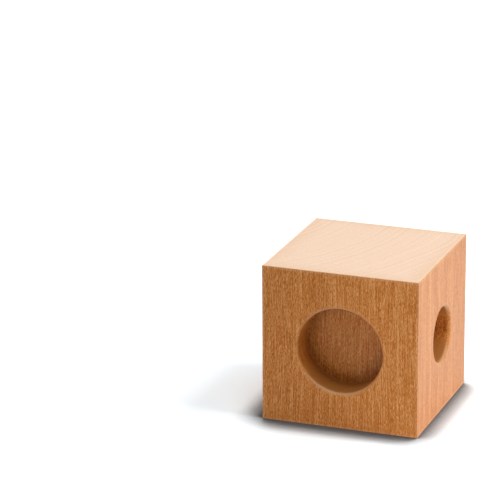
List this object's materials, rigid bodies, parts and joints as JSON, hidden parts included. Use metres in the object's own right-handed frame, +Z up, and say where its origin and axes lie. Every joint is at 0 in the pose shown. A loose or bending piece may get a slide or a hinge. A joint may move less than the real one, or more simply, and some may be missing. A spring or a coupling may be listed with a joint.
{
  "type": "bed riser",
  "caption": "Cube-shaped riser block of solid wood that lifts a bed leg, with blind round recesses of different sizes in its sides.",
  "frame": {"origin": "middle of the end-grain face that the block stands on", "axes": "+Z up along the grain, +X out of the side with the small bore, +Y out of the side with the large bore, -Y out of the front with the medium bore"},
  "size_m": [0.1016, 0.1016, 0.1016],
  "materials": {
    "wood": "satin"
  },
  "bodies": {
    "root": {"riser_block": "wood"}
  },
  "joints": []
}
